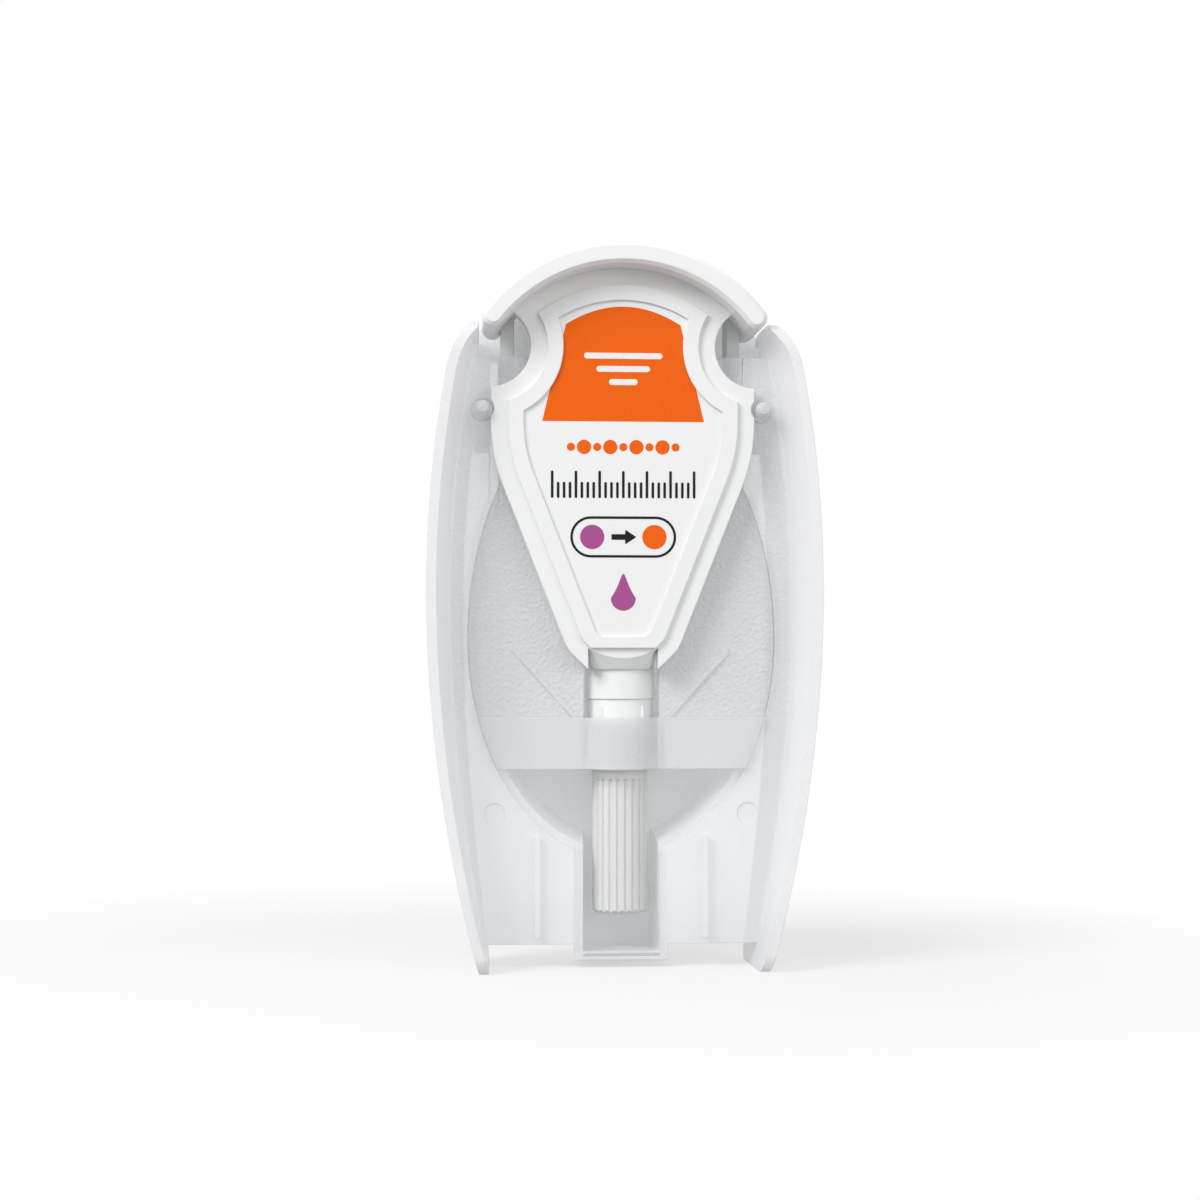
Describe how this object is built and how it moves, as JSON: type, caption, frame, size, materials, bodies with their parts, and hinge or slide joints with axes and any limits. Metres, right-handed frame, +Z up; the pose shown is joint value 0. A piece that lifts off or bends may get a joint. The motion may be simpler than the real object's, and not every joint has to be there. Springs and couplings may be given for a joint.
{
  "type": "colour reagent test cassette",
  "caption": "Upright frosted test cassette with flared side walls, a grained front panel, and a white push handle whose thumb arch drives a fluted reagent tube down a channel.",
  "frame": {"origin": "on the ground between the feet, in the middle of the depth", "axes": "+Z up, along the slide of the collector; -Y is the front, where the shield of the handle is; +X to the right seen from the front"},
  "size_m": [0.063, 0.0208, 0.1159],
  "materials": {
    "frosted_plastic": "frosted, translucent",
    "grained_plastic": "fine pebble grain, translucent",
    "white_plastic": "satin",
    "natural_plastic": "natural, slightly translucent",
    "soft_seal": "soft, matt",
    "stem_plastic": "matt",
    "fibre": "fibrous",
    "felt": "felted",
    "ampoule_glass": "clear",
    "clear_reagent": "liquid",
    "amber_reagent": "liquid"
  },
  "bodies": {
    "holder": {"holder_shell": "frosted_plastic", "holder_lid": "grained_plastic"},
    "collector": {"collector_handle": "white_plastic", "reaction_tube": "natural_plastic", "seal_ring": "soft_seal", "stem_plug": "white_plastic", "sampling_stem": "stem_plastic", "sampling_tip": "fibre", "breaker_crown": "white_plastic", "right_ampoule": "ampoule_glass", "left_ampoule": "ampoule_glass", "right_reagent": "clear_reagent", "left_reagent": "amber_reagent", "cushion_pad": "felt"}
  },
  "joints": [
    {"name": "collector_slide", "type": "slide", "parent": "holder", "child": "collector", "axis": [0, 0, 1], "range_m": [-0.003, 0.095]}
  ]
}
